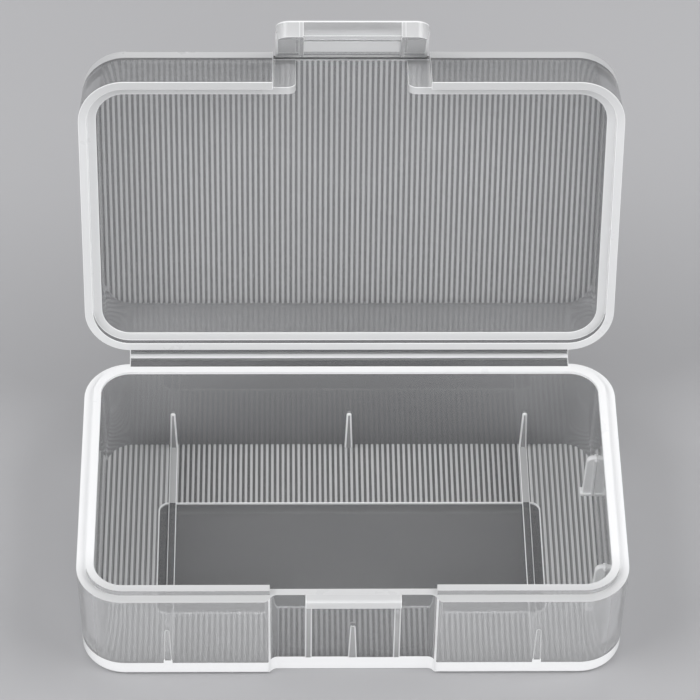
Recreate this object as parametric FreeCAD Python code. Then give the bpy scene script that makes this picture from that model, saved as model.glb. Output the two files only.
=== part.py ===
import FreeCAD, Part
import math
import os

# Hinged plastic battery case, shown open: base tray, lid and latch flap.
# Millimetres. X runs along the case, Y points to the hinge side, Z is up.
# The origin is the centre of the underside, and the parting plane lies at base_height.

# Sizes of the closed case
case_width = 82.0
case_depth = 48.0
base_height = 17.3
lid_height = 10.7
corner_radius = 7.0
base_draft = 0.32
lid_draft = 0.34

# Walls, and the stepped rim where lid and base meet
floor_thickness = 1.46
lid_panel_thickness = 1.37
ledge_width = 1.43
lip_thickness = 1.17
lip_height = 0.95
lip_clearance = 0.15
seat_gap = 0.1
foot_round = 0.8
lid_edge_round = 0.9
overrun = 0.5

# Ribs that hold the cells off the walls, and stops at the right-hand end
rib_end_inset = 13.4
rib_height = 8.0
rib_foot_width = 1.33
rib_top_width = 0.8
rib_foot_reach = 0.7
rib_top_reach = 0.6
fin_spacing = 22.0
fin_height = 8.6
fin_width = 0.95
fin_foot_reach = 1.75
fin_top_reach = 1.4
fin_corner = 1.1
strip_width = 1.25
strip_height = 0.35

# Fluting of the floor and of the lid, with the smooth field in the floor
flute_pitch = 0.83
flute_bed = 0.12
flute_rise = 0.18
field_width = 59.3
field_depth = 20.7
field_corner = 1.5
field_forward = 1.5

# Rear living hinge
hinge_width = 68.4
hinge_offset = 1.34
leaf_thickness = 0.8
hinge_film_radius = 0.4
hinge_clearance = 0.12
lid_open_angle = 102.75

# Catch on the front wall
catch_width = 14.2
catch_height = 1.7
catch_reach = 1.3
catch_rib_width = 1.0
catch_rib_reach = 0.8
recess_flare = 0.5
recess_curve_radius = 1.28
recess_edge_break = 0.03

# Latch flap on the lid
latch_width = 22.9
latch_thickness = 1.25
latch_corner = 2.2
latch_outer_offset = 0.3
latch_axis_drop = 0.35
latch_film_reach = 0.35
latch_film_radius = 0.2
latch_side_clearance = 0.4
latch_gap = 0.12
latch_rest_angle = 39.5
hook_thickness = 1.2
hook_lead = 0.4
latch_rib_width = 0.72
latch_lip_reach = 1.45
cutout_clearance = 0.45
cutout_corner = 1.3

# Levels and places that follow from the sizes above
wall_thickness = ledge_width + lip_thickness
rib_spacing = case_width / 2 - rib_end_inset
lid_top = base_height + lid_height
lid_inside = lid_top - lid_panel_thickness
rebate_level = base_height + lip_height + lip_clearance
recess_face = ledge_width - case_depth / 2
hinge_axis_y = case_depth / 2 + hinge_offset
latch_axis_y = recess_face - latch_film_reach
latch_axis_z = lid_top - latch_axis_drop
latch_inner = latch_thickness - latch_outer_offset
hook_width = catch_width + 2 * latch_gap
cutout_width = hook_width + 2 * latch_rib_width + 2 * cutout_clearance
lid_recess_width = latch_width + 2 * latch_side_clearance
base_recess_width = lid_recess_width + 2 * recess_flare

# How far the closed flap leans out, so that it clears the catch
latch_drop = latch_axis_z - base_height
latch_lean = math.atan((catch_reach + latch_gap + latch_inner - latch_film_reach) / latch_drop)

# Distances along the flap from its hinge, which put the hook under the catch
hook_drop = latch_drop + catch_height + latch_gap - latch_inner * math.sin(latch_lean)
hook_start = hook_drop / math.cos(latch_lean)
latch_length = hook_start + hook_thickness
latch_start = latch_film_radius + hinge_clearance

# Depths below the flap's axis, which keep the hook and ribs clear of the base wall
hook_room = latch_film_reach + hook_start * math.sin(latch_lean) - latch_gap
hook_depth = hook_room / math.cos(latch_lean)
latch_rib_depth = (catch_reach + latch_inner) * math.cos(latch_lean)


# Start, middle and end of an arc
arc_shares = (0, 1 / 2, 1)


def vector(x, y, z):
    return FreeCAD.Vector(x, y, z)


def line(start, end):
    return Part.LineSegment(start, end).toShape()


def arc(points):
    return Part.Arc(*points).toShape()


def face_from(edges):
    return Part.Face(Part.Wire(Part.__sortEdges__(edges)))


def polar(centre_x, centre_y, radius, degrees, level):
    angle = math.radians(degrees)
    return vector(centre_x + radius * math.cos(angle), centre_y + radius * math.sin(angle), level)


def base_lean(level):
    """How far a base wall has moved in at this level."""
    return base_draft * (1 - level / base_height)


def lid_lean(level):
    """How far a wall of the closed lid has moved in at this level."""
    return lid_draft * (level - base_height) / lid_height


def rounded_wire(width, depth, radius, level):
    """Rounded rectangle about the Z axis."""
    half_x = width / 2 - radius
    half_y = depth / 2 - radius
    corners = [(half_x, half_y), (-half_x, half_y), (-half_x, -half_y), (half_x, -half_y)]
    edges = []
    for quarter, (x, y) in enumerate(corners):
        bend = [polar(x, y, radius, 90 * (quarter + share), level) for share in arc_shares]
        next_x, next_y = corners[(quarter + 1) % len(corners)]
        edges.append(arc(bend))
        edges.append(line(bend[-1], polar(next_x, next_y, radius, 90 * (quarter + 1), level)))
    return Part.Wire(edges)


def case_block(low_inset, high_inset, low, high):
    """Tapered block with the case's outline, set in by the given insets."""
    wires = []
    for inset, level in ((low_inset, low), (high_inset, high)):
        width = case_width - 2 * inset
        depth = case_depth - 2 * inset
        wires.append(rounded_wire(width, depth, corner_radius - inset, level))
    return Part.makeLoft(wires, True, True)


def box(x_low, x_high, y_low, y_high, z_low, z_high):
    return Part.makeBox(x_high - x_low, y_high - y_low, z_high - z_low, vector(x_low, y_low, z_low))


def prism_along_x(points, x_low, x_high):
    """Solid with an outline of (y, z) points."""
    corners = [vector(x_low, y, z) for y, z in points]
    return Part.Face(Part.makePolygon(corners + corners[:1])).extrude(vector(x_high - x_low, 0, 0))


def rod_along_x(length, radius, y, z):
    return Part.makeCylinder(radius, length, vector(-length / 2, y, z), vector(1, 0, 0))


def rounded_at_level(shape, radius, level):
    """Rounds the edges that lie flat at this level."""
    edges = [edge for edge in shape.Edges if all(abs(v.Z - level) < radius / 2 for v in edge.Vertexes)]
    return shape.makeFillet(radius, edges)


# Base tray

def front_recess():
    """Cutter for the set-back middle of the front wall, with S-curved sides."""
    outer_face = -case_depth / 2 - recess_edge_break
    depth = recess_face - outer_face
    sweep = math.degrees(math.acos(1 - depth / (2 * recess_curve_radius)))
    run = recess_curve_radius * math.sin(math.radians(sweep))
    mouth = base_recess_width / 2 + run
    floor_half = base_recess_width / 2 - run
    low = -overrun
    edges = []
    radius = recess_curve_radius
    for side in (-1, 1):
        outer = [polar(mouth, outer_face + radius, radius, 270 - share * sweep, low) for share in arc_shares]
        inner_y = recess_face - radius
        inner = [polar(floor_half, inner_y, radius, 90 - share * sweep, low) for share in arc_shares]
        for bend in (outer, inner):
            edges.append(arc([vector(side * point.x, point.y, point.z) for point in bend]))
    edges.append(line(vector(-floor_half, recess_face, low), vector(floor_half, recess_face, low)))
    clear = outer_face - overrun
    rim = [vector(-mouth, outer_face, low), vector(-mouth, clear, low), vector(mouth, clear, low),
           vector(mouth, outer_face, low)]
    edges += [line(start, end) for start, end in zip(rim, rim[1:])]
    return face_from(edges).extrude(vector(0, 0, base_height + 2 * overrun))


def base_cavity():
    top = base_height + overrun
    low_inset = wall_thickness + base_lean(floor_thickness)
    return case_block(low_inset, wall_thickness + base_lean(top), floor_thickness, top)


def base_tray():
    outside = rounded_at_level(case_block(base_draft, 0, 0, base_height), foot_round, 0)
    return outside.cut(base_cavity()).cut(front_recess())


def base_rim_lip():
    top = base_height + lip_height
    ring = case_block(ledge_width, ledge_width, base_height, top)
    ring = ring.cut(case_block(wall_thickness, wall_thickness, base_height, top))
    half = base_recess_width / 2
    return ring.cut(box(-half, half, -case_depth, 0, base_height, top))


def wall_rib(height, foot_width, top_width, foot_reach, top_reach):
    """Rib on the floor at the wall plane Y = 0, reaching along -Y, with its root in the wall."""
    root = base_draft + lip_thickness / 3
    shoulder = height - top_width / 2
    right_foot = vector(foot_width / 2, root, 0)
    left_foot = vector(-foot_width / 2, root, 0)
    right_top = vector(top_width / 2, root, shoulder)
    left_top = vector(-top_width / 2, root, shoulder)
    edges = [line(left_foot, right_foot), line(right_foot, right_top),
             arc([right_top, vector(0, root, height), left_top]), line(left_top, left_foot)]
    front = face_from(edges).extrude(vector(0, -root - foot_reach, 0))
    side = [(root, 0), (-foot_reach, 0), (-top_reach, height), (root, height)]
    return front.common(prism_along_x(side, -foot_width, foot_width))


def placed(shape, x, y, turn):
    """Turns a rib to its wall and stands it on the floor."""
    moved = shape.copy()
    moved.rotate(vector(0, 0, 0), vector(0, 0, 1), turn)
    moved.translate(vector(x, y, floor_thickness))
    return moved


def floor_inset():
    return wall_thickness + base_lean(floor_thickness)


def cell_ribs(tray):
    """Three ribs on the rear wall and three on the front wall."""
    rib = wall_rib(rib_height, rib_foot_width, rib_top_width, rib_foot_reach, rib_top_reach)
    wall = case_depth / 2 - floor_inset()
    ribs = {}
    for name, step in (("left", -1), ("middle", 0), ("right", 1)):
        ribs["rear_cell_rib_" + name] = placed(rib, step * rib_spacing, wall, 0).cut(tray)
        ribs["front_cell_rib_" + name] = placed(rib, step * rib_spacing, -wall, 180).cut(tray)
    return ribs


def end_stop_fin():
    """Thin fin at the wall plane Y = 0, reaching along -Y, with a round upper corner."""
    root = base_draft + lip_thickness / 3
    bend = fin_corner * (1 - math.sqrt(1 / 2))
    left = -fin_width / 2
    shoulder = [vector(left, -fin_top_reach, fin_height - fin_corner),
                vector(left, bend - fin_top_reach, fin_height - bend),
                vector(left, fin_corner - fin_top_reach, fin_height)]
    outline = [shoulder[-1], vector(left, root, fin_height), vector(left, root, 0),
               vector(left, -fin_foot_reach, 0), shoulder[0]]
    edges = [arc(shoulder)] + [line(start, end) for start, end in zip(outline, outline[1:])]
    return face_from(edges).extrude(vector(fin_width, 0, 0))


def end_stop_fins(tray):
    """Two fins on the right-hand end wall, one in line with each cell."""
    fin = end_stop_fin()
    wall = case_width / 2 - floor_inset()
    fins = {}
    for name, side in (("front", -1), ("rear", 1)):
        fins["end_stop_fin_" + name] = placed(fin, wall, side * fin_spacing / 2, -90).cut(tray)
    return fins


def floor_strips(tray, ribs):
    """Low strips on the floor that join the outer ribs of the two long walls."""
    strips = {}
    for name, side in (("left", -1), ("right", 1)):
        middle = side * rib_spacing
        strip = box(middle - strip_width / 2, middle + strip_width / 2, -case_depth / 2 + ledge_width,
                    case_depth / 2 - ledge_width, floor_thickness, floor_thickness + strip_height)
        strip = strip.cut(tray)
        for wall in ("rear", "front"):
            strip = strip.cut(ribs[wall + "_cell_rib_" + name])
        strips["floor_strip_" + name] = strip
    return strips


def flute_sheet():
    """Fluted sheet over the whole case outline, lying on Z = 0, with its flutes along Y."""
    count = int(case_width / flute_pitch)
    start = -count * flute_pitch / 2
    points = [(start, 0)]
    for index in range(count):
        left = start + index * flute_pitch
        points.append((left, flute_bed))
        points.append((left + flute_pitch / 2, flute_bed + flute_rise))
    points.append((start + count * flute_pitch, flute_bed))
    points.append((start + count * flute_pitch, 0))
    corners = [vector(x, -case_depth / 2, z) for x, z in points]
    return Part.Face(Part.makePolygon(corners + corners[:1])).extrude(vector(0, case_depth, 0))


def floor_flutes(fittings):
    """Fluted skin of the floor, open round the smooth field and round the ribs and strips."""
    sheet = flute_sheet()
    sheet.translate(vector(0, 0, floor_thickness))
    skin = sheet.common(base_cavity())
    field = Part.Face(rounded_wire(field_width, field_depth, field_corner, floor_thickness - overrun))
    field.translate(vector(0, -field_forward, 0))
    skin = skin.cut(field.extrude(vector(0, 0, 2 * overrun + flute_bed + flute_rise)))
    for piece in fittings:
        skin = skin.cut(piece)
    return skin


def catch_bar(tray):
    half = catch_width / 2
    raw = box(-half, half, recess_face - catch_reach, recess_face + lip_thickness / 2,
              base_height - catch_height, base_height)
    return raw.cut(tray)


def catch_wall_ribs(tray):
    """Two stiffening ribs inside the thin wall, behind the ends of the catch."""
    rib_top = base_height - catch_height - floor_thickness
    rib = wall_rib(rib_top, catch_rib_width, catch_rib_width, catch_rib_reach, catch_rib_reach)
    wall = case_depth / 2 - floor_inset()
    ribs = {}
    for name, side in (("left", -1), ("right", 1)):
        middle = side * (catch_width - catch_rib_width) / 2
        ribs["catch_wall_rib_" + name] = placed(rib, middle, -wall, 180).cut(tray)
    return ribs


def hinge_film():
    return rod_along_x(hinge_width, hinge_film_radius, hinge_axis_y, base_height)


def base_hinge_leaf(tray, film):
    half = hinge_width / 2
    raw = box(-half, half, case_depth / 2 - ledge_width, hinge_axis_y,
              base_height - leaf_thickness, base_height)
    return raw.cut(tray).cut(film)


# Lid, drawn closed

def lid_cavity():
    low = base_height - overrun
    return case_block(wall_thickness + lid_lean(low), wall_thickness + lid_lean(lid_inside), low, lid_inside)


def latch_cutout():
    """Cutter for the opening behind the flap, flared by round corners at the rim."""
    half = cutout_width / 2
    front = recess_face - overrun
    flare = half + cutout_corner
    bend = cutout_corner * (1 - math.sqrt(1 / 2))
    low = base_height - overrun
    edges = []
    for side in (-1, 1):
        corner = [vector(side * flare, front, rebate_level),
                  vector(side * (half + bend), front, rebate_level + bend),
                  vector(side * half, front, rebate_level + cutout_corner)]
        edges.append(arc(corner))
        edges.append(line(corner[-1], vector(side * half, front, lid_inside)))
        edges.append(line(corner[0], vector(side * flare, front, low)))
    for reach, level in ((half, lid_inside), (flare, low)):
        edges.append(line(vector(-reach, front, level), vector(reach, front, level)))
    return face_from(edges).extrude(vector(0, wall_thickness + overrun, 0))


def lid_shell():
    low = base_height + seat_gap
    outside = case_block(lid_lean(low), lid_draft, low, lid_top)
    outside = rounded_at_level(outside, lid_edge_round, lid_top)
    rebate_inset = ledge_width - lip_clearance
    rebate = case_block(rebate_inset, rebate_inset, base_height - overrun, rebate_level)
    half = lid_recess_width / 2
    recess = box(-half, half, -case_depth, recess_face, base_height - overrun, lid_top + overrun)
    return outside.cut(lid_cavity()).cut(rebate).cut(recess).cut(latch_cutout())


def lid_flutes():
    """Fluted skin inside the lid, running out to the edge of the panel in the opening."""
    sheet = flute_sheet()
    sheet.rotate(vector(0, 0, 0), vector(0, 1, 0), 180)
    sheet.translate(vector(0, 0, lid_inside))
    half = cutout_width / 2
    low = lid_inside - flute_bed - flute_rise
    doorway = box(-half, half, recess_face, 0, low, lid_inside)
    return sheet.common(lid_cavity().fuse(doorway))


def lid_hinge_leaf(shell):
    half = hinge_width / 2
    raw = box(-half, half, case_depth / 2 - ledge_width / 2,
              hinge_axis_y - hinge_film_radius - hinge_clearance,
              base_height + seat_gap, base_height + leaf_thickness)
    return raw.cut(shell)


def latch_hinge_film():
    """Thin web on the edge of the lid panel, with a round bead on the flap's axis."""
    half = latch_width / 2
    web = box(-half, half, latch_axis_y, recess_face,
              latch_axis_z - latch_film_radius, latch_axis_z + latch_film_radius)
    return web.fuse(rod_along_x(latch_width, latch_film_radius, latch_axis_y, latch_axis_z)).removeSplitter()


# Latch flap, drawn straight out from the lid panel

def along_flap(distance, rise):
    """Place in (y, z) at a distance from the flap's hinge, and above its axis."""
    return (latch_axis_y - distance, latch_axis_z + rise)


def latch_outline():
    """Plan of the flap with its two round corners, as a tall block."""
    half = latch_width / 2
    end_y = latch_axis_y - latch_length
    low = latch_axis_z - hook_depth - overrun
    bend = latch_corner * (1 - math.sqrt(1 / 2))
    root_y = latch_axis_y - latch_start
    edges = []
    for side in (-1, 1):
        corner = [vector(side * half, end_y + latch_corner, low),
                  vector(side * (half - bend), end_y + bend, low),
                  vector(side * (half - latch_corner), end_y, low)]
        edges.append(arc(corner))
        edges.append(line(vector(side * half, root_y, low), corner[0]))
    for reach, y in ((half, root_y), (half - latch_corner, end_y)):
        edges.append(line(vector(-reach, y, low), vector(reach, y, low)))
    return face_from(edges).extrude(vector(0, 0, hook_depth + latch_outer_offset + 2 * overrun))


def latch_plate(outline):
    """Plate that thins towards its hinge, so that it clears the lid when it is shut."""
    slope = math.tan(latch_lean)
    thin = (latch_film_reach - latch_gap) / math.cos(latch_lean) + latch_start * slope
    full_at = latch_start + (latch_inner - thin) / slope
    profile = [along_flap(latch_start, latch_outer_offset), along_flap(latch_length, latch_outer_offset),
               along_flap(latch_length, -latch_inner), along_flap(full_at, -latch_inner),
               along_flap(latch_start, -thin)]
    return outline.common(prism_along_x(profile, -latch_width, latch_width))


def latch_hook():
    deep = -hook_depth
    profile = [along_flap(hook_start, -latch_inner), along_flap(hook_start, deep),
               along_flap(latch_length - hook_lead, deep), along_flap(latch_length, deep + hook_lead),
               along_flap(latch_length, -latch_inner)]
    return prism_along_x(profile, -hook_width / 2, hook_width / 2)


def latch_sides(outline, plate):
    """A rib that grows towards the hook, and an end lip, on each side of it."""
    lid_edge = lid_panel_thickness + flute_bed + flute_rise - latch_axis_drop
    rib_start = (lid_edge + latch_gap) / math.cos(latch_lean)
    rib_profile = [along_flap(rib_start, 0), along_flap(rib_start, -latch_inner),
                   along_flap(hook_start, -latch_rib_depth), along_flap(latch_length, -latch_rib_depth),
                   along_flap(latch_length, 0)]
    lip_deep = -latch_inner - latch_lip_reach
    lip_profile = [along_flap(hook_start, -latch_inner), along_flap(hook_start, lip_deep),
                   along_flap(latch_length, lip_deep), along_flap(latch_length, -latch_inner)]
    inside = hook_width / 2
    outside = inside + latch_rib_width
    sides = {}
    for name, side in (("left", -1), ("right", 1)):
        rib = prism_along_x(rib_profile, side * inside, side * outside)
        sides["latch_rib_" + name] = rib.cut(plate)
        lip = prism_along_x(lip_profile, side * outside, side * latch_width / 2)
        sides["latch_lip_" + name] = lip.common(outline)
    return sides


def turned(shape, y, z, angle):
    """Turns a shape about an axis along X."""
    moved = shape.copy()
    moved.rotate(vector(0, y, z), vector(1, 0, 0), angle)
    return moved


def all_pieces():
    tray = base_tray()
    ribs = cell_ribs(tray)
    fins = end_stop_fins(tray)
    strips = floor_strips(tray, ribs)
    catch_ribs = catch_wall_ribs(tray)
    film = hinge_film()
    pieces = {"base_tray": tray, "base_rim_lip": base_rim_lip(), "catch_bar": catch_bar(tray),
              "hinge_film": film, "base_hinge_leaf": base_hinge_leaf(tray, film)}
    standing = {**ribs, **fins, **strips, **catch_ribs}
    pieces.update(standing)
    pieces["floor_flutes"] = floor_flutes(standing.values())

    shell = lid_shell()
    lid = {"lid_shell": shell, "lid_flutes": lid_flutes(), "lid_hinge_leaf": lid_hinge_leaf(shell),
           "latch_hinge_film": latch_hinge_film()}

    outline = latch_outline()
    plate = latch_plate(outline)
    flap = {"latch_plate": plate, "latch_hook": latch_hook(), **latch_sides(outline, plate)}
    for name, shape in flap.items():
        lid[name] = turned(shape, latch_axis_y, latch_axis_z, latch_rest_angle)
    for name, shape in lid.items():
        pieces[name] = turned(shape, hinge_axis_y, base_height, -lid_open_angle)
    return pieces


os.makedirs("parts", exist_ok=True)
for node, solid in all_pieces().items():
    solid.exportStep(os.path.join("parts", node + ".step"))
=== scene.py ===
import bisect
import math
from contextlib import contextmanager

import bmesh
import bpy
from mathutils import Matrix, Vector
from mathutils.bvhtree import BVHTree


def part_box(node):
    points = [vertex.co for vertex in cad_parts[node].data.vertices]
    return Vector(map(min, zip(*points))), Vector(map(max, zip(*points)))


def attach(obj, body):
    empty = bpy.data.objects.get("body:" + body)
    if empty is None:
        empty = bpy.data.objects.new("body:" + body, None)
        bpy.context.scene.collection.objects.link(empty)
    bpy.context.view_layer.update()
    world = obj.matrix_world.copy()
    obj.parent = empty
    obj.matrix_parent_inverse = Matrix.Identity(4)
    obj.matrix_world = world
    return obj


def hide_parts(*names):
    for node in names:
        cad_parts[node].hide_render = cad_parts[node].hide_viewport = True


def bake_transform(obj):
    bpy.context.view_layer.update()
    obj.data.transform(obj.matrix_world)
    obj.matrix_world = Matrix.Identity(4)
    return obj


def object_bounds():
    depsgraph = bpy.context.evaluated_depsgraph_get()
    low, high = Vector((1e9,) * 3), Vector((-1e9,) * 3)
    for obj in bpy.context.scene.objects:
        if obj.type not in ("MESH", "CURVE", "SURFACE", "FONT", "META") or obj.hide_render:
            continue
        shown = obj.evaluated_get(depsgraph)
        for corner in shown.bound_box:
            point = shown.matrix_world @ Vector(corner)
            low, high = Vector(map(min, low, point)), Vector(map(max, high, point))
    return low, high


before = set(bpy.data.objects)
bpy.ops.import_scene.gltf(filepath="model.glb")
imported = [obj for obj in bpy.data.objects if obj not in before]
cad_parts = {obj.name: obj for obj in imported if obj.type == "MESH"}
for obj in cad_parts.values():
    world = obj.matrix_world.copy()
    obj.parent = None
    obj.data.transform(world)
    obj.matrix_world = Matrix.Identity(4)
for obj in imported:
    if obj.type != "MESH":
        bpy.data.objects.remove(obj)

cad_low, cad_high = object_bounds()

# A see-through case with a base tray, a lid and a latch flap, joined by two living hinges.
# The pieces are drawn in millimetres, shut, and then turned to the frame's rest pose in metres.
mm = 0.001
tray_low, tray_high = (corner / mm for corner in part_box("base_tray"))

# Sizes of the closed case
case_width = tray_high.x - tray_low.x
case_depth = tray_high.y - tray_low.y
base_height = tray_high.z
lid_height = 10.7
corner_radius = 7.0
base_draft = 0.32
lid_draft = 0.34

# Walls, and the stepped rim where lid and base meet
floor_thickness = 1.46
lid_panel_thickness = 1.37
ledge_width = 1.43
lip_thickness = 1.17
lip_height = 0.95
lip_clearance = 0.15
seat_gap = 0.1
foot_round = 0.8
lid_edge_round = 0.9

# Ribs that hold the cells off the walls, and stops at the right-hand end
rib_end_inset = 13.4
rib_height = 8.0
rib_foot_width = 1.33
rib_top_width = 0.8
rib_foot_reach = 0.7
rib_top_reach = 0.6
fin_spacing = 22.0
fin_height = 8.6
fin_width = 0.95
fin_foot_reach = 1.75
fin_top_reach = 1.4
fin_corner = 1.1
strip_width = 1.25
strip_height = 0.35

# Fluting of the floor and of the lid, with the smooth field in the floor
flute_pitch = 0.83
flute_bed = 0.12
flute_rise = 0.18
field_width = 59.3
field_depth = 20.7
field_corner = 1.5
field_forward = 1.5

# Rear living hinge
hinge_width = 68.4
hinge_offset = 1.34
leaf_thickness = 0.8
hinge_film_radius = 0.4
hinge_clearance = 0.12
lid_open_angle = 102.75

# Catch on the front wall
catch_width = 14.2
catch_height = 1.7
catch_reach = 1.3
catch_rib_width = 1.0
catch_rib_reach = 0.8
catch_round = 0.45
recess_flare = 0.5
recess_curve_radius = 1.28
recess_edge_break = 0.03

# Latch flap on the lid
latch_width = 22.9
latch_thickness = 1.25
latch_corner = 2.2
latch_round = 0.35
latch_edge = 0.22
latch_outer_offset = 0.3
latch_axis_drop = 0.35
latch_film_reach = 0.35
latch_film_radius = 0.2
latch_side_clearance = 0.4
latch_gap = 0.12
latch_rest_angle = 39.5
hook_thickness = 1.2
hook_lead = 0.4
latch_rib_width = 0.72
latch_lip_reach = 1.45
cutout_clearance = 0.45
cutout_corner = 1.3

# Thin trim: the field's border, marks of ribs seen through a wall, pads of the stops, and hinge webs
border_width = 0.2
mark_outline = 0.17
mark_raise = 0.012
mark_foot = 1.2
pad_raise = 0.28
leaf_raise = 0.04
web_thickness = 0.22

# Rounding of edges, and the number of steps in round stretches
edge_round = 0.16
fine_round = 0.14
rib_round = 0.28
edge_steps = 2
edge_curve_steps = 8
corner_steps = 14
foot_steps = 6
flute_steps = 8
web_steps = 10

# Overlaps of pieces that are joined or cut, and distances too small to keep
bury = 0.4
flute_overlap = 0.06
weld = 1e-4
sliver = 5e-4

# Angles in degrees: of edges to round, of edges that shade sharp, and between faces of one plane
sharp_angle = 38
crease_angle = 50
flat_angle = 0.2

# Places where the finish changes: widths of white lines painted as highlights, how far the bright edge of
# the floor or of the lid panel spreads along the wall, and ways through the plastic, measured from just
# under the surface
root_line = 0.25
flap_line = 0.4
slab_drop = 1.35
thick_limit = 4.0
milky_limit = 2.0
ray_depth = 0.035
crest_share = 0.6

# Parts of a face's normal along an axis, which say how squarely the face looks that way
square_share = 0.99
facing_share = 0.5
riser_share = 0.15
rear_shares = (0.1, 0.4)

# Levels and places that follow from the sizes above
wall_thickness = ledge_width + lip_thickness
rib_spacing = case_width / 2 - rib_end_inset
lid_top = base_height + lid_height
lid_inside = lid_top - lid_panel_thickness
rebate_level = base_height + lip_height + lip_clearance
recess_face = ledge_width - case_depth / 2
hinge_axis_y = case_depth / 2 + hinge_offset
latch_axis_y = recess_face - latch_film_reach
latch_axis_z = lid_top - latch_axis_drop
latch_inner = latch_thickness - latch_outer_offset
hook_width = catch_width + 2 * latch_gap
cutout_width = hook_width + 2 * latch_rib_width + 2 * cutout_clearance
lid_recess_width = latch_width + 2 * latch_side_clearance
base_recess_width = lid_recess_width + 2 * recess_flare
latch_drop = latch_axis_z - base_height
latch_lean = math.atan((catch_reach + latch_gap + latch_inner - latch_film_reach) / latch_drop)
hook_drop = latch_drop + catch_height + latch_gap - latch_inner * math.sin(latch_lean)
hook_start = hook_drop / math.cos(latch_lean)
latch_length = hook_start + hook_thickness
latch_start = latch_film_radius + hinge_clearance
hook_room = latch_film_reach + hook_start * math.sin(latch_lean) - latch_gap
hook_depth = hook_room / math.cos(latch_lean)
latch_rib_depth = (catch_reach + latch_inner) * math.cos(latch_lean)
floor_inset = wall_thickness + base_draft * (1 - floor_thickness / base_height)

# Looks of the plastic
refraction = 1.49
noise_detail = 3
noise_ends = (0.2, 0.8)
cloud_scale = 60
cloud_share = 0.98
gloss_scale = 250
gloss_shares = (0.95, 1.1)
grain_scale = 1800
grain_strength = 0.05
grain_depth = 0.02
dark = (0.44, 0.445, 0.45)
dull = (0.5, 0.505, 0.51)
grey = (0.68, 0.685, 0.69)
# Grey of the lid's rim: the white of the rim darkened, as painted shade
rim_shade_grey = (0.7, 0.705, 0.71)
light = (0.79, 0.795, 0.8)
pale = (0.86, 0.865, 0.87)
white = (0.94, 0.945, 0.95)

# Painted shade on the rims, darker towards the base's front and towards the top of the opened lid: an
# axis, two places along it, and the share of the colour that is left at the first place
front_rim_shade = ("Y", -24, -14, 0.67)
top_rim_shade = ("Z", 66, 56, 0.8)

# Floor and lamps, in metres and watts. A lamp has a name, a place, an aim, a size and a power.
floor_half = 3.0
floor_gap = 0.05 * mm
floor_colour = (0.44, 0.44, 0.45, 1)
floor_roughness = 0.8
world_colour = (0.8, 0.8, 0.82, 1)
world_strength = 0.45
lamps = [
    ("left", (-1.0, -0.3, 1.1), (0, 0, 0.02), (0.9, 0.9), 10.8),
    ("right", (1.0, -0.2, 1.1), (0, 0, 0.02), (0.9, 0.9), 9.2),
    ("rear", (0.1, 1.35, 0.9), (0, 0, 0.03), (0.9, 0.9), 4.5),
    ("front", (0.15, -1.4, 0.27), (0, 0, 0.02), (1.0, 0.45), 9),
]


# Finishes
def spread(tree, value, old_ends, new_ends, kind="LINEAR"):
    """Takes a value from one range to another."""
    node = tree.nodes.new("ShaderNodeMapRange")
    node.interpolation_type = kind
    for name, end in zip(("From Min", "From Max", "To Min", "To Max"), (*old_ends, *new_ends)):
        node.inputs[name].default_value = end
    tree.links.new(value, node.inputs["Value"])
    return node.outputs["Result"]


def noise(tree, place, scale, ends):
    """Noise that runs from one end to the other."""
    texture = tree.nodes.new("ShaderNodeTexNoise")
    texture.inputs["Scale"].default_value = scale
    texture.inputs["Detail"].default_value = noise_detail
    tree.links.new(place, texture.inputs["Vector"])
    return spread(tree, texture.outputs["Fac"], noise_ends, ends)


def shaded_along_axis(tree, place, tone, axis, start, end, share):
    """Painted shade: colour that is darker at the first of two places along an axis."""
    parts = tree.nodes.new("ShaderNodeSeparateXYZ")
    tree.links.new(place, parts.inputs["Vector"])
    amount = spread(tree, parts.outputs[axis], (start * mm, end * mm), (share, 1), "SMOOTHSTEP")
    shade = tree.nodes.new("ShaderNodeVectorMath")
    shade.operation = "SCALE"
    tree.links.new(tone, shade.inputs["Vector"])
    tree.links.new(amount, shade.inputs["Scale"])
    return shade.outputs["Vector"]


def plastic(name, colour, clear, roughness, painted_shade=None):
    """Frosted see-through plastic with a faint cloudiness, uneven gloss and fine grain, and painted shade
    along an axis where that is given.
    """
    material = bpy.data.materials.new(name)
    material.use_nodes = True
    tree = material.node_tree
    shader = tree.nodes["Principled BSDF"]
    shader.inputs["IOR"].default_value = refraction
    shader.inputs["Transmission Weight"].default_value = clear
    place = tree.nodes.new("ShaderNodeTexCoord").outputs["Object"]
    cloud = tree.nodes.new("ShaderNodeMix")
    cloud.data_type = "RGBA"
    cloud.inputs["A"].default_value = (*(cloud_share * value for value in colour), 1)
    cloud.inputs["B"].default_value = (*colour, 1)
    tree.links.new(noise(tree, place, cloud_scale, (0, 1)), cloud.inputs["Factor"])
    tone = cloud.outputs["Result"]
    if painted_shade:
        tone = shaded_along_axis(tree, place, tone, *painted_shade)
    tree.links.new(tone, shader.inputs["Base Color"])
    gloss = noise(tree, place, gloss_scale, [share * roughness for share in gloss_shares])
    tree.links.new(gloss, shader.inputs["Roughness"])
    grain = tree.nodes.new("ShaderNodeBump")
    grain.inputs["Strength"].default_value = grain_strength
    grain.inputs["Distance"].default_value = grain_depth * mm
    tree.links.new(noise(tree, place, grain_scale, (0, 1)), grain.inputs["Height"])
    tree.links.new(grain.outputs["Normal"], shader.inputs["Normal"])
    return material
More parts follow.
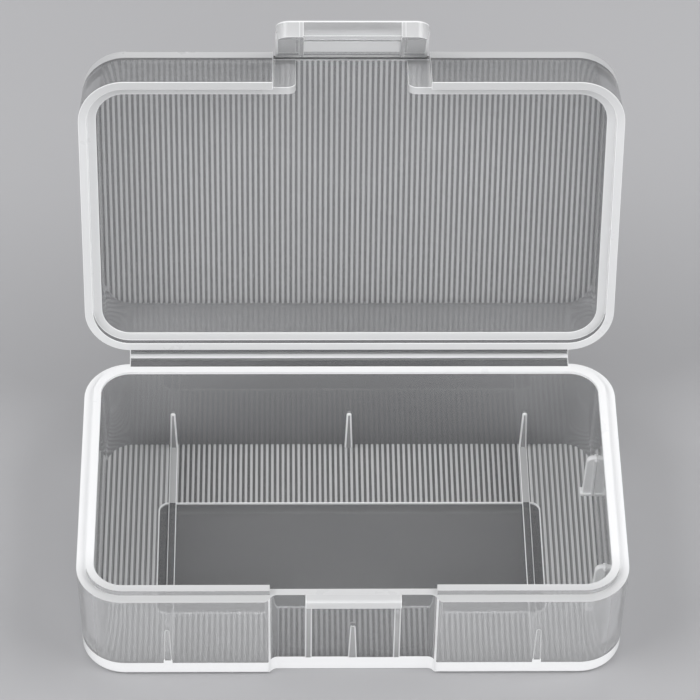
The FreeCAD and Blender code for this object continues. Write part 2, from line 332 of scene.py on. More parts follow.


# Each finish stands for how much light the plastic lets through where it is used. The rim finishes also
# carry painted shade: the base's rim darkens towards the front, and the lid's rim is a greyer copy of it
# that darkens towards the top. Their order is that of the names below.
finishes = [
    plastic("plastic_wall", grey, clear=0.84, roughness=0.05),
    plastic("plastic_edge", white, clear=0, roughness=0.22),
    plastic("plastic_rim", white, clear=0, roughness=0.28, painted_shade=front_rim_shade),
    # Opaque rim of the lid, greyer than the base's white rim: painted shade
    plastic("plastic_shaded_rim", rim_shade_grey, clear=0, roughness=0.28, painted_shade=top_rim_shade),
    plastic("plastic_block", light, clear=0.2, roughness=0.25),
    plastic("plastic_crest", pale, clear=0.42, roughness=0.2),
    plastic("plastic_line", light, clear=0.6, roughness=0.2),
    plastic("plastic_milk", pale, clear=0.7, roughness=0.06),
    plastic("plastic_film", dark, clear=0.9, roughness=0.2),
    plastic("plastic_panel", dark, clear=0.84, roughness=0.06),
    plastic("plastic_skin", dull, clear=0.72, roughness=0.07),
]
WALL, EDGE, RIM, SHADED_RIM, BLOCK, CREST, LINE, MILK, FILM, PANEL, SKIN = range(len(finishes))


# Mesh helpers
def new_object(name, data):
    item = bpy.data.objects.new(name, data)
    bpy.context.scene.collection.objects.link(item)
    return item


def mesh_object(name, bm):
    """Object in the scene with this mesh and all finishes."""
    bmesh.ops.remove_doubles(bm, verts=bm.verts, dist=weld)
    bmesh.ops.recalc_face_normals(bm, faces=bm.faces)
    mesh = bpy.data.meshes.new(name)
    bm.to_mesh(mesh)
    bm.free()
    for material in finishes:
        mesh.materials.append(material)
    return new_object(name, mesh)


@contextmanager
def editing(piece):
    """Opens the mesh of a piece for editing, and writes it back."""
    bm = bmesh.new()
    bm.from_mesh(piece.data)
    yield bm
    bm.to_mesh(piece.data)
    bm.free()


def apply_modifiers(piece):
    evaluated = piece.evaluated_get(bpy.context.evaluated_depsgraph_get())
    made = bpy.data.meshes.new_from_object(evaluated)
    old = piece.data
    piece.modifiers.clear()
    piece.data = made
    bpy.data.meshes.remove(old)


def combine(piece, others, operation):
    """Joins the others to a piece, cuts them from it or keeps what they share, and removes them."""
    for other in others:
        step = piece.modifiers.new("combine", "BOOLEAN")
        step.operation = operation
        step.solver = "MANIFOLD"
        step.object = other
    apply_modifiers(piece)
    for other in others:
        bpy.data.meshes.remove(other.data)
    return piece


def cleaned(piece):
    """Removes slivers, and joins the faces of one plane and finish."""
    with editing(piece) as bm:
        bmesh.ops.remove_doubles(bm, verts=bm.verts, dist=sliver)
        bmesh.ops.dissolve_degenerate(bm, dist=sliver, edges=bm.edges)
        bmesh.ops.dissolve_limit(bm, angle_limit=math.radians(flat_angle), verts=bm.verts, edges=bm.edges,
                                 delimit={"MATERIAL"})
    return piece


def without_slivers(piece):
    """Removes faces too small to see, and edges that belong to no face."""
    with editing(piece) as bm:
        bmesh.ops.dissolve_degenerate(bm, dist=sliver, edges=bm.edges)
        bmesh.ops.delete(bm, geom=[edge for edge in bm.edges if edge.is_wire], context="EDGES")
    return piece


def round_edges(piece, radius):
    """Rounds every sharp edge of a piece, and gives the rounded strips the finish of an edge."""
    cleaned(piece)
    bevel = piece.modifiers.new("round", "BEVEL")
    bevel.width = radius
    bevel.segments = edge_steps
    bevel.limit_method = "ANGLE"
    bevel.angle_limit = math.radians(sharp_angle)
    bevel.use_clamp_overlap = True
    bevel.material = EDGE
    apply_modifiers(piece)
    return piece


def split(piece, axis, places, chosen=lambda normal, middle: True):
    """Cuts the chosen faces of a piece at places along an axis."""
    across = Vector([float(name == axis) for name in "xyz"])
    with editing(piece) as bm:
        for place in places:
            faces = [face for face in bm.faces if chosen(face.normal, face.calc_center_median())]
            edges = dict.fromkeys(edge for face in faces for edge in face.edges)
            verts = dict.fromkeys(vert for face in faces for vert in face.verts)
            bmesh.ops.bisect_plane(bm, geom=[*verts, *edges, *faces],
                                   plane_co=across * place, plane_no=across)
    return without_slivers(piece)


def lofted(name, loops):
    """Closed skin through loops of points, capped on the first and the last loop."""
    bm = bmesh.new()
    rows = [[bm.verts.new(point) for point in loop] for loop in loops]
    for row, above in zip(rows, rows[1:]):
        for index in range(len(row)):
            after = (index + 1) % len(row)
            bm.faces.new((row[index], row[after], above[after], above[index]))
    bm.faces.new(rows[0])
    bm.faces.new(rows[-1])
    return mesh_object(name, bm)


def arc(centre, radius, start, end, steps):
    """Points on an arc, with its angles in degrees."""
    angles = [math.radians(start + (end - start) * step / steps) for step in range(steps + 1)]
    return [(centre[0] + radius * math.cos(a), centre[1] + radius * math.sin(a)) for a in angles]


def rounded_outline(half_x, half_y, radius):
    """Points of a rounded rectangle about the Z axis."""
    points = []
    for quarter, (side_x, side_y) in enumerate(((1, 1), (-1, 1), (-1, -1), (1, -1))):
        centre = (side_x * (half_x - radius), side_y * (half_y - radius))
        points += arc(centre, radius, 90 * quarter, 90 * (quarter + 1), corner_steps)
    return points


def case_block(name, profile):
    """Solid with the case's outline, through (inset, level) pairs."""
    loops = []
    for inset, level in profile:
        outline = rounded_outline(case_width / 2 - inset, case_depth / 2 - inset, corner_radius - inset)
        loops.append([(x, y, level) for x, y in outline])
    return lofted(name, loops)


def prism(name, points, low, high, axes):
    """Solid with an outline of points, drawn out along the third of the named axes."""
    loops = []
    for third in (low, high):
        loop = []
        for first, second in points:
            place = dict(zip(axes, (first, second, third)))
            loop.append((place["x"], place["y"], place["z"]))
        loops.append(loop)
    return lofted(name, loops)


def block(name, x_low, x_high, y_low, y_high, z_low, z_high):
    outline = [(x_low, y_low), (x_high, y_low), (x_high, y_high), (x_low, y_high)]
    return prism(name, outline, z_low, z_high, "xyz")


def finished(piece, finish):
    """Gives a whole piece one finish."""
    for face in piece.data.polygons:
        face.material_index = finish
    return piece


def moved(piece, *matrices):
    for matrix in matrices:
        piece.data.transform(matrix)
    return piece


def turn_about(y, z, degrees):
    """Turn about a line along X through a place in (y, z)."""
    centre = Matrix.Translation((0, y, z))
    return centre @ Matrix.Rotation(math.radians(degrees), 4, "X") @ centre.inverted()


# Fluted skins
def fluted_sheet(name, crest_finish, valley_finish):
    """Sheet of whole flutes along Y between the walls, with round crests and sharp valleys, on Z = 0."""
    span = case_width - 2 * (floor_inset - flute_overlap)
    steps = round(span / flute_pitch) * flute_steps
    start = -span / 2
    points = [(start, -bury)]
    for index in range(steps + 1):
        crest = abs(math.sin(math.pi * index / flute_steps))
        points.append((start + span * index / steps, flute_bed + flute_rise * crest))
    points.append((-start, -bury))
    sheet = prism(name, points, -case_depth / 2, case_depth / 2, "xzy")
    valley = flute_bed + flute_rise * crest_share
    for face in finished(sheet, valley_finish).data.polygons:
        if face.normal.z > 0 and face.center.z > valley:
            face.material_index = crest_finish
    return sheet


def floor_flutes():
    """Fluting of the floor round the smooth field, whiter beyond the outer ribs as painted light where the
    side walls cast shade.
    """
    sheet = moved(fluted_sheet("floor_flutes", CREST, WALL), Matrix.Translation((0, 0, floor_thickness)))
    for face in sheet.data.polygons:
        # Painted light: whiter finishes near the side walls lift the shade that the walls cast on the
        # flutes.
        if abs(face.center.x) > rib_spacing:
            face.material_index = BLOCK if face.material_index == CREST else MILK
    inset = floor_inset - bury
    reach = case_block("reach", [(inset, 0), (inset, floor_thickness + strip_height)])
    outline = rounded_outline(field_width / 2, field_depth / 2, field_corner)
    field = prism("field", outline, 0, floor_thickness + strip_height, "xyz")
    moved(field, Matrix.Translation((0, -field_forward, 0)))
    combine(sheet, [reach], "INTERSECT")
    return combine(sheet, [field], "DIFFERENCE")


def field_border():
    """Narrow raised edge round the smooth field in the floor."""
    ring = []
    for grow, over in ((border_width / 2, 0), (-border_width / 2, bury / 2)):
        outline = rounded_outline(field_width / 2 + grow, field_depth / 2 + grow, field_corner + grow)
        top = floor_thickness + flute_bed + flute_rise + over
        ring.append(prism("border", outline, floor_thickness - bury - over, top, "xyz"))
    border = finished(combine(ring[0], ring[1:], "DIFFERENCE"), EDGE)
    return moved(border, Matrix.Translation((0, -field_forward, 0)))


def lid_lean(level):
    """How far a wall of the closed lid has moved in at this level."""
    return lid_draft * (level - base_height) / lid_height


def lid_flutes():
    """Fluting inside the lid panel, which runs on to the edge of the opening behind the flap."""
    sheet = fluted_sheet("lid_flutes", LINE, PANEL)
    moved(sheet, Matrix.Rotation(math.pi, 4, "Y"), Matrix.Translation((0, 0, lid_inside)))
    inset = wall_thickness + lid_lean(lid_inside) - bury
    low = lid_inside - flute_bed - 2 * flute_rise
    reach = case_block("reach", [(inset, low), (inset, lid_top)])
    half = cutout_width / 2
    doorway = block("doorway", -half, half, recess_face + weld, 0, low + weld, lid_top - weld)
    combine(reach, [doorway], "UNION")
    return combine(sheet, [reach], "INTERSECT")


# Base
def base_tray():
    """Tray with its rim lip, a set-back middle in the front wall, and no lip there."""
    lip_top = base_height + lip_height
    foot = arc((base_draft + foot_round, foot_round), foot_round, 270, 180, foot_steps)
    ledge = [(0, base_height), (ledge_width, base_height)]
    lip = [(ledge_width, lip_top), (wall_thickness, lip_top)]
    inside = [(wall_thickness, base_height), (floor_inset, floor_thickness)]
    tray = case_block("base", foot + ledge + lip + inside)
    half = base_recess_width / 2
    gap = block("gap", -half, half, -case_depth, 0, base_height, lip_top + bury)
    combine(tray, [front_recess(), gap], "DIFFERENCE")
    return round_edges(tray, edge_round)


def front_recess():
    """Cutter for the set-back middle of the front wall, with S-curved sides."""
    outer_face = -case_depth / 2 - recess_edge_break
    radius = recess_curve_radius
    sweep = math.degrees(math.acos(1 - (recess_face - outer_face) / (2 * radius)))
    run = radius * math.sin(math.radians(sweep))
    middle = base_recess_width / 2
    right = arc((middle + run, outer_face + radius), radius, 270, 270 - sweep, edge_curve_steps)
    right += arc((middle - run, recess_face - radius), radius, 90 - sweep, 90, edge_curve_steps)[1:]
    left = [(-x, y) for x, y in reversed(right)]
    front = outer_face - bury
    outline = [(-middle - run, front), (middle + run, front)] + right + left
    return prism("recess", outline, -bury, base_height + bury / 2, "xyz")


def wall_rib(height, foot_width, top_width, foot_reach, top_reach):
    """Rib on the floor at the wall plane Y = 0, reaching along -Y, with its root in the wall."""
    shoulder = height - top_width / 2
    right = [(foot_width / 2, -bury)] + arc((0, shoulder), top_width / 2, 0, 90, edge_curve_steps)
    left = [(-x, z) for x, z in reversed(right[:-1])]
    outline = right + left
    root = [(x, bury + base_draft, z) for x, z in outline]
    front = []
    for x, z in outline:
        reach = foot_reach + (top_reach - foot_reach) * max(0, z) / height
        front.append((x, -reach, z))
    return round_edges(finished(lofted("rib", [root, front]), MILK), rib_round)


def on_wall(piece, x, y, turn):
    """Turns a rib to its wall and stands it on the floor."""
    place = Matrix.Translation((x, y, floor_thickness))
    return moved(piece, Matrix.Rotation(math.radians(turn), 4, "Z"), place)


def base_ribs():
    """Three ribs on each long wall, and two behind the ends of the catch."""
    wall = case_depth / 2 - floor_inset
    ribs = []
    for step in (-1, 0, 1):
        for side, turn in ((1, 0), (-1, 180)):
            rib = wall_rib(rib_height, rib_foot_width, rib_top_width, rib_foot_reach, rib_top_reach)
            ribs.append(on_wall(rib, step * rib_spacing, side * wall, turn))
    height = base_height - catch_height - floor_thickness
    for side in (-1, 1):
        rib = wall_rib(height, catch_rib_width, catch_rib_width, catch_rib_reach, catch_rib_reach)
        ribs.append(on_wall(rib, side * (catch_width - catch_rib_width) / 2, -wall, 180))
    return ribs


def end_stop_fins():
    """Two thin fins on the right-hand end wall, with a round upper corner and pads at root and foot."""
    wall = case_width / 2 - floor_inset
    centre = (fin_corner - fin_top_reach, fin_height - fin_corner)
    corner = arc(centre, fin_corner, 180, 90, edge_curve_steps)
    root = bury + base_draft
    outline = [(-fin_foot_reach, -bury)] + corner + [(root, fin_height), (root, -bury)]
    seam_top = fin_height - rib_round
    lean = base_draft * seam_top / base_height
    seam = [(-pad_raise, -bury), (lean - pad_raise, seam_top), (root, seam_top), (root, -bury)]
    foot_top = flute_bed + flute_rise + pad_raise
    foot_end = -fin_foot_reach - pad_raise
    foot = [(foot_end, -bury), (foot_end, foot_top), (root, foot_top), (root, -bury)]
    half, pad_half = fin_width / 2, fin_width / 2 + pad_raise
    fins = []
    for side in (-1, 1):
        fin = finished(prism("fin", outline, -half, half, "yzx"), EDGE)
        parts = [round_edges(fin, rib_round)]
        for pad in (seam, foot):
            parts.append(finished(prism("pad", pad, -pad_half, pad_half, "yzx"), EDGE))
        fins += [on_wall(part, wall, side * fin_spacing / 2, -90) for part in parts]
    return fins


def floor_strips():
    """Low strips across the floor between the outer ribs, clear in the smooth field."""
    reach = case_depth / 2 - floor_inset + bury
    ends = [side * field_depth / 2 - field_forward for side in (-1, 1)]
    strips = []
    for side in (-1, 1):
        middle = side * rib_spacing
        strip = block("strip", middle - strip_width / 2, middle + strip_width / 2, -reach, reach,
                      floor_thickness - bury, floor_thickness + strip_height)
        for face in split(strip, "y", ends).data.polygons:
            face.material_index = WALL if ends[0] < face.center.y < ends[1] else CREST
        strips.append(round_edges(strip, fine_round))
    return strips


def catch_bar():
    """Bar on the set-back wall that the hook of the flap goes under, with a round upper edge."""
    half = catch_width / 2
    front, back = recess_face - catch_reach, recess_face + lip_thickness / 2
    low = base_height - catch_height
    upper = arc((front + catch_round, base_height - catch_round), catch_round, 90, 180, edge_curve_steps)
    bar = prism("catch", [(back, base_height)] + upper + [(front, low), (back, low)], -half, half, "yzx")
    return round_edges(finished(bar, BLOCK), fine_round)


def rib_marks():
    """The front ribs as they show through the wall: flat pale marks, hardly proud of it."""
    outer_face = -case_depth / 2
    rib_top = floor_thickness + rib_height
    foot_top = floor_thickness + slab_drop + mark_foot
    catch_rib_top = base_height - catch_height / 2
    marks = []
    for side in (-1, 1):
        rib_x = side * rib_spacing
        catch_rib_x = side * (catch_width - catch_rib_width) / 2
        marks += mark(rib_x, outer_face, base_draft, rib_top + slab_drop,
                      rib_foot_width, rib_top_width, (CREST, MILK))
        marks += mark(rib_x, outer_face - mark_raise, base_draft, foot_top,
                      rib_foot_width, rib_foot_width, (EDGE,))
        marks += mark(catch_rib_x, recess_face, 0, catch_rib_top,
                      catch_rib_width, catch_rib_width, (BLOCK, MILK))
    lift = slab_drop * lip_thickness / wall_thickness
    return marks + mark(0, recess_face, 0, rib_top + lift, rib_foot_width, rib_top_width, (BLOCK, MILK))


def mark(x, face, lean, high, foot_width, top_width, layers):
    """A rib's outline on the front wall above the edge of the floor, with its middle as a second layer."""
    low = floor_thickness + slab_drop - mark_outline
    centre = (0, high - top_width / 2)
    parts = []
    for layer, finish in enumerate(layers):
        inset = layer * mark_outline
        side = [(foot_width / 2 - inset, low)]
        side += arc(centre, top_width / 2 - inset, 0, 90, edge_curve_steps)
        outline = side + [(-across, z) for across, z in reversed(side[:-1])]
        loops = []
        for depth in (lip_thickness / 2, -mark_raise * (layer + 1)):
            loop = []
            for across, z in outline:
                loop.append((x + across, face + lean * (1 - z / base_height) + depth, z))
            loops.append(loop)
        parts.append(finished(lofted("mark", loops), finish))
    return parts


def base_hinge_leaf():
    half = hinge_width / 2
    leaf = block("leaf", -half, half, case_depth / 2 - ledge_width + fine_round, hinge_axis_y,
                 base_height - leaf_thickness, base_height + leaf_raise)
    return round_edges(finished(leaf, FILM), fine_round)


def base():
    """The whole base in one mesh, with the finish of a thin skin underneath."""
    piece = base_tray()
    combine(piece, [catch_bar(), base_hinge_leaf()], "UNION")
    for face in piece.data.polygons:
        if face.normal.z < -square_share and face.center.z < fine_round:
            face.material_index = SKIN
    combine(piece, [floor_flutes()], "UNION")
    details = [field_border(), *floor_strips(), *base_ribs(), *end_stop_fins(), *rib_marks()]
    return combine(piece, details, "UNION")


# Lid
def lid_shell():
    """Panel and walls, with a rebate for the base lip, a recess for the flap and an opening behind it."""
    low = base_height + seat_gap
    centre = (lid_draft + lid_edge_round, lid_top - lid_edge_round)
    edge = arc(centre, lid_edge_round, 90, 180, foot_steps)
    rebate = ledge_width - lip_clearance
    profile = edge + [(lid_lean(low), low), (rebate, low), (rebate, rebate_level),
                      (wall_thickness + lid_lean(rebate_level), rebate_level),
                      (wall_thickness + lid_lean(lid_inside), lid_inside)]
    shell = case_block("lid", profile)
    half = lid_recess_width / 2
    recess = block("recess", -half, half, -case_depth, recess_face, base_height - bury, lid_top + bury)
    combine(shell, [recess, latch_cutout()], "DIFFERENCE")
    return round_edges(shell, edge_round)


def latch_cutout():
    """Cutter for the opening behind the flap, flared by round corners at the rim."""
    half = cutout_width / 2
    low = base_height - bury
    right = [(half + cutout_corner, low)]
    centre = (half + cutout_corner, rebate_level + cutout_corner)
    right += arc(centre, cutout_corner, 270, 180, edge_curve_steps)
    right.append((half, lid_inside))
    left = [(-x, z) for x, z in reversed(right)]
    return prism("cutout", right + left, recess_face - bury, recess_face + wall_thickness, "xzy")


def lid_hinge_leaf():
    half = hinge_width / 2
    leaf = block("leaf", -half, half, case_depth / 2 - ledge_width / 2,
                 hinge_axis_y - hinge_film_radius - hinge_clearance,
                 base_height + seat_gap + weld, base_height + leaf_thickness)
    return round_edges(finished(leaf, FILM), fine_round)


def lid():
    """The whole lid in one mesh, with the finish of a thin skin outside the panel."""
    piece = lid_shell()
    combine(piece, [lid_hinge_leaf()], "UNION")
    for face in piece.data.polygons:
        if face.material_index == WALL and face.normal.z > square_share and face.center.z > lid_inside:
            face.material_index = SKIN
    return combine(piece, [lid_flutes()], "UNION")


# Latch flap, drawn straight out from the lid panel
def along_flap(distance, depth):
    """Place in (y, z) at a distance from the flap's hinge, and below its axis."""
    return (latch_axis_y - distance, latch_axis_z - depth)


def flap_block():
    """Block with the flap's plan, as deep as its hook, with a round outer edge."""
    half = latch_width / 2
    top = latch_axis_z + latch_outer_offset
    centre = (half - latch_corner, latch_length - latch_corner)
    profile = arc((latch_round, top - latch_round), latch_round, 180, 90, foot_steps)
    loops = []
    for inset, level in [(0, latch_axis_z - hook_depth)] + profile:
        right = [(half - inset, latch_start)] + arc(centre, latch_corner - inset, 0, 90, corner_steps)
        left = [(-x, distance) for x, distance in reversed(right)]
        loops.append([(x, latch_axis_y - distance, level) for x, distance in right + left])
    return lofted("latch", loops)


def under_plate():
    """Cutter that leaves the plate, thinner towards its hinge, and a wall across its end."""
    slope = math.tan(latch_lean)
    thin = (latch_film_reach - latch_gap) / math.cos(latch_lean)
    full_at = (latch_inner - thin) / slope
    deep = hook_depth + bury
    points = [(-bury, thin - bury * slope), (full_at, latch_inner), (hook_start, latch_inner),
              (hook_start, deep), (-bury, deep)]
    outline = [along_flap(*point) for point in points]
    return prism("under_plate", outline, -latch_width, latch_width, "yzx")


def beside_hook():
    """Cutters that leave the hook standing out from the lips on either side of it."""
    low = latch_axis_z - hook_depth - bury
    high = latch_axis_z - latch_inner - latch_lip_reach
    near, far = latch_axis_y - hook_start + bury, latch_axis_y - latch_length - bury
    half, wide = hook_width / 2, latch_width / 2 + bury
    return [block("beside", *span, far, near, low, high) for span in ((half, wide), (-wide, -half))]


def hook_ramp():
    """Cutter for the sloping front of the hook."""
    reach = hook_lead + bury
    points = [(latch_length - reach, hook_depth + bury), (latch_length + bury, hook_depth - reach),
              (latch_length + bury, hook_depth + bury)]
    outline = [along_flap(*point) for point in points]
    half = hook_width / 2 + fine_round
    return prism("ramp", outline, -half, half, "yzx")


def latch_ribs():
    """Ribs on either side of the hook, which grow towards it."""
    lid_edge = lid_panel_thickness + flute_bed + flute_rise - latch_axis_drop
    start = (lid_edge + latch_gap) / math.cos(latch_lean)
    end = hook_start + hook_thickness / 2
    points = [(start, 0), (start, latch_inner), (hook_start, latch_rib_depth),
              (end, latch_rib_depth), (end, 0)]
    outline = [along_flap(*point) for point in points]
    half, wide = hook_width / 2, hook_width / 2 + latch_rib_width
    return [prism("latch_rib", outline, *span, "yzx") for span in ((half, wide), (-wide, -half))]


def latch():
    """The whole flap in one mesh."""
    piece = combine(flap_block(), [under_plate(), *beside_hook(), hook_ramp()], "DIFFERENCE")
    combine(piece, latch_ribs(), "UNION")
    mark_flap(cleaned(piece))
    return round_edges(piece, latch_edge)


def inside_plate(normal, middle):
    """True for a face of the flap's plate that looks into the case, between its hinge and its hook."""
    return normal.z < -facing_share and latch_axis_z - latch_inner - middle.z < fine_round


def mark_flap(piece):
    """Gives the flap white edges, painted highlights on its inner face (a band between the ribs, and
    strips along the face's sides and root), a pale outside, and outlines of its ribs on its end.
    """
    near, far = hook_width / 2, hook_width / 2 + latch_rib_width
    lines = (near, near + mark_outline, far - mark_outline, far)
    border = latch_width / 2 - flap_line
    root = latch_axis_y - latch_start - flap_line
    split(piece, "x", [side * line for line in lines for side in (-1, 1)])
    split(piece, "x", [-border, border], inside_plate)
    split(piece, "y", [root], inside_plate)
    rounding = latch_axis_z + latch_outer_offset - latch_round
    end_start = latch_axis_y - latch_length + latch_corner
    for face in piece.data.polygons:
        normal, middle = face.normal, face.center
        across = abs(middle.x)
        # Painted highlight: the flat inner face between the ribs is white, and so are strips along the
        # inner face's sides and root.
        between_ribs = across < fine_round and normal.z < -square_share
        painted_highlight = inside_plate(normal, middle) and (between_ribs or across > border or middle.y > root)
        outer_edge = middle.z > rounding and max(normal.y, normal.z) < square_share
        side = abs(normal.x) > square_share and across > latch_width / 2 - fine_round
        end = middle.y < end_start and normal.z > -facing_share
        rib_outline = near < across < far and not lines[1] < across < lines[2]
        if painted_highlight or outer_edge or side:
            face.material_index = EDGE
        elif normal.z > square_share:
            face.material_index = CREST
        elif end and rib_outline:
            face.material_index = BLOCK
        elif end and across > near and max(normal.y, normal.z) < facing_share:
            face.material_index = CREST
        else:
            face.material_index = MILK


# Whiter finishes where the plastic is thick
def inner_points(mesh):
    """A point inside each face: the centre of the largest of its triangles."""
    largest = {}
    for triangle in mesh.loop_triangles:
        best = largest.get(triangle.polygon_index)
        if best is None or triangle.area > best.area:
            largest[triangle.polygon_index] = triangle
    return {index: triangle.center.copy() for index, triangle in largest.items()}


def whiten_thick(piece, levels, lean, rim, riser, band, outside):
    """Gives whiter finishes to faces with a long way through the plastic behind them.

    The walls are split at the levels. The way through is tried straight and leaning up or down, as light
    goes that is bent on its way in, so the edge of the floor or of the lid panel shows as a white band.
    The steps of the rim are as white as the rim, apart from clearer risers towards the front. The outside
    of a full wall has its own finish, and the bands end at the hinge side.
    """
    mesh = split(cleaned(piece), "z", levels).data
    mesh.calc_loop_triangles()
    corners = [vertex.co for vertex in mesh.vertices]
    tree = BVHTree.FromPolygons(corners, [triangle.vertices for triangle in mesh.loop_triangles])
    points = inner_points(mesh)
    for face in mesh.polygons:
        if face.material_index != WALL:
            continue
        middle = points[face.index]
        if abs(middle.z - base_height - lip_height / 2) < lip_height / 2 + lip_clearance:
            face.material_index = riser if face.normal.y < -riser_share else rim
            continue
        start = middle - face.normal * ray_depth
        ways = [tree.ray_cast(start, Vector((0, 0, slope)) - face.normal)[3] or 0 for slope in (0, lean)]
        if max(ways) > thick_limit:
            face.material_index = [band, CREST, SKIN][bisect.bisect(rear_shares, face.normal.y)]
        elif ways[0] > milky_limit and face.normal.xy.dot(middle.xy) > 0:
            face.material_index = SKIN if face.normal.y > facing_share else outside
    return piece


def mark_rear_lip(piece):
    """Makes the inner face of the base's rear lip white above its middle and clear below."""
    for face in piece.data.polygons:
        above = face.center.z - base_height
        if 0 < above < lip_height and face.center.y > 0 and face.normal.y < -riser_share:
            face.material_index = RIM if above > lip_height / 2 else WALL


def mark_latch_root(piece):
    """Gives the lid's edge at the root of the flap a white line of painted highlight under a dark clear
    strip of painted shade by the hinge gap, over milky tabs.
    """
    for face in piece.data.polygons:
        level = face.center.z - lid_inside
        if face.normal.y > -square_share or abs(face.center.y - recess_face) > fine_round:
            continue
        # Painted shade: the dark clear strip by the gap. Painted highlight: the white line below it.
        if level > root_line:
            face.material_index = FILM
        elif level > 0 or abs(face.center.x) < cutout_width / 2:
            face.material_index = EDGE
        else:
            face.material_index = MILK


# Pieces in place of the frame's nodes
def in_metres(piece):
    """Shades a piece smooth, with its flat faces flat, and brings it to metres."""
    mesh = without_slivers(piece).data
    mesh.shade_smooth()
    mesh.set_sharp_from_angle(angle=math.radians(crease_angle))
    normals = piece.modifiers.new("normals", "WEIGHTED_NORMAL")
    normals.keep_sharp = True
    apply_modifiers(piece)
    return moved(piece, Matrix.Scale(mm, 4))


def stand_for(piece, body, *nodes):
    """Hides the frame's nodes that a piece takes the place of; the piece and the body are not used."""
    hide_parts(*nodes)


def place_base():
    levels = [floor_thickness + slab_drop, base_height + lip_height / 2]
    piece = whiten_thick(base(), levels, lean=-slab_drop / floor_inset,
                         rim=RIM, riser=MILK, band=EDGE, outside=MILK)
    mark_rear_lip(piece)
    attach(in_metres(piece), "base")
    ribs = []
    for wall in ("rear", "front"):
        ribs += [wall + "_cell_rib_" + end for end in ("left", "middle", "right")]
    stand_for(piece, "base", "base_tray", "base_rim_lip", "floor_flutes", "catch_bar", "base_hinge_leaf",
              "floor_strip_left", "floor_strip_right", "end_stop_fin_front", "end_stop_fin_rear",
              "catch_wall_rib_left", "catch_wall_rib_right", *ribs)


def place_lid(opened):
    levels = [lid_inside - slab_drop, lid_inside, lid_inside + root_line]
    # The lid's rim and band take the greyer copy of the rim finish: painted shade.
    piece = whiten_thick(lid(), levels, lean=slab_drop / wall_thickness,
                         rim=SHADED_RIM, riser=PANEL, band=SHADED_RIM, outside=WALL)
    mark_latch_root(piece)
    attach(in_metres(moved(piece, opened)), "lid")
    stand_for(piece, "lid", "lid_shell", "lid_flutes", "lid_hinge_leaf")


def place_latch(opened, lifted):
    piece = moved(latch(), lifted, opened)
    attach(in_metres(piece), "latch")
    stand_for(piece, "latch", "latch_plate", "latch_hook", "latch_rib_left", "latch_rib_right",
              "latch_lip_left", "latch_lip_right")


def web(name, guides, width, bodies, node):
    """Thin web of a living hinge along a Bezier curve with four guide points, bent between two bodies."""
    path = []
    for step in range(web_steps + 1):
        t = step / web_steps
        shares = ((1 - t) ** 3, 3 * t * (1 - t) ** 2, 3 * t ** 2 * (1 - t), t ** 3)
        path.append(sum((guide * share for guide, share in zip(guides, shares)), Vector((0, 0, 0))))
    sides = ([], [])
    for before, here, after in zip(path[:1] + path, path, path[1:] + path[-1:]):
        along = (after - before).normalized()
        across = Vector((0, -along.z, along.y)) * web_thickness / 2
        sides[0].append((here + across).yz)
        sides[1].append((here - across).yz)
    # The web is white all over: a painted highlight along the hinge's crease.
    piece = finished(prism(name, sides[0] + sides[1][::-1], -width / 2, width / 2, "yzx"), EDGE)
    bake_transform(in_metres(piece))
    stand_for(piece, bodies[0], node)


def place_hinge_web(opened):
    base_leaf = Vector((0, hinge_axis_y, base_height - leaf_thickness / 2))
    lid_leaf = Vector((0, hinge_axis_y - hinge_film_radius - hinge_clearance,
                       base_height + (seat_gap + leaf_thickness) / 2))
    outward = Vector((0, hinge_film_radius, 0))
    guides = [base_leaf - outward, base_leaf + outward,
              opened @ (lid_leaf + outward), opened @ (lid_leaf - outward)]
    web("hinge_web", guides, hinge_width, ("base", "lid"), "hinge_film")


def place_latch_web(opened, lifted):
    panel_edge = Vector((0, recess_face, latch_axis_z))
    flap_root = Vector((0, latch_axis_y - latch_start, latch_axis_z))
    inward = Vector((0, latch_film_reach / 2, 0))
    guides = [opened @ (panel_edge + inward), opened @ (panel_edge - inward),
              opened @ lifted @ (flap_root + inward), opened @ lifted @ (flap_root - inward)]
    web("latch_web", guides, latch_width, ("lid", "latch"), "latch_hinge_film")


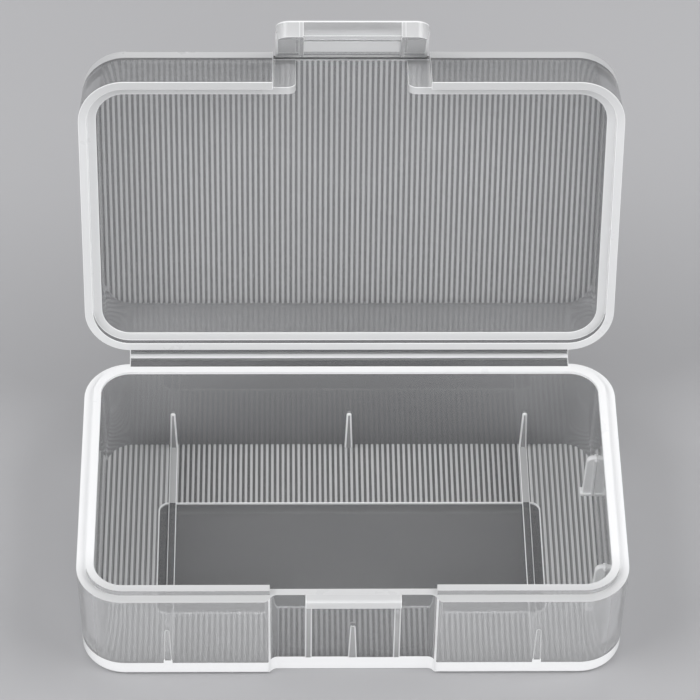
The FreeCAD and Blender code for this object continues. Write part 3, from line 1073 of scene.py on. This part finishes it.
# Camera, floor and light
def add_camera():
    """Camera at the photograph's viewing angle."""
    lens = 189.54
    sensor = 36.0
    nearest, furthest = 0.01, 50.0
    pitch, yaw, roll = (math.radians(angle) for angle in (46.69, -1.524, -1.047))
    target = Vector((-0.59, 0.0, 45.92)) * mm
    distance = 537.2 * mm
    forward = Vector((0, math.cos(pitch), -math.sin(pitch)))
    right = Vector((1, 0, 0))
    down = forward.cross(right)
    turn = Matrix.Rotation(yaw, 3, "Z")
    forward, right, down = turn @ forward, turn @ right, turn @ down
    right, down = (math.cos(roll) * right + math.sin(roll) * down,
                   math.cos(roll) * down - math.sin(roll) * right)
    place = Matrix((right, -down, -forward)).transposed().to_4x4()
    place.translation = target - distance * forward
    data = bpy.data.cameras.new("camera")
    data.lens = lens
    data.sensor_width = sensor
    data.clip_start = nearest
    data.clip_end = furthest
    camera = new_object("camera", data)
    camera.matrix_world = place
    bpy.context.scene.camera = camera


def add_floor():
    mesh = bpy.data.meshes.new("floor")
    level = cad_low.z - floor_gap
    sides = ((-1, -1), (1, -1), (1, 1), (-1, 1))
    mesh.from_pydata([(x * floor_half, y * floor_half, level) for x, y in sides], [], [(0, 1, 2, 3)])
    material = bpy.data.materials.new("floor")
    material.use_nodes = True
    shader = material.node_tree.nodes["Principled BSDF"]
    shader.inputs["Base Color"].default_value = floor_colour
    shader.inputs["Roughness"].default_value = floor_roughness
    mesh.materials.append(material)
    floor = new_object("floor", mesh)


def add_lamp(name, place, aim, size, power):
    data = bpy.data.lights.new(name, "AREA")
    data.shape = "RECTANGLE"
    data.size, data.size_y = size
    data.energy = power
    lamp = new_object(name, data)
    lamp.location = place
    lamp.rotation_mode = "QUATERNION"
    lamp.rotation_quaternion = (Vector(aim) - Vector(place)).to_track_quat("-Z", "Y")


def add_world():
    world = bpy.data.worlds.new("world")
    world.use_nodes = True
    background = world.node_tree.nodes["Background"]
    background.inputs["Color"].default_value = world_colour
    background.inputs["Strength"].default_value = world_strength
    bpy.context.scene.world = world


# The case at rest, with its lid opened and its flap lifted
lid_turn = turn_about(hinge_axis_y, base_height, -lid_open_angle)
flap_turn = turn_about(latch_axis_y, latch_axis_z, latch_rest_angle)
place_base()
place_lid(lid_turn)
place_latch(lid_turn, flap_turn)
place_hinge_web(lid_turn)
place_latch_web(lid_turn, flap_turn)

add_camera()
add_floor()
add_world()
for lamp_values in lamps:
    add_lamp(*lamp_values)
bpy.context.scene.view_settings.view_transform = "Standard"
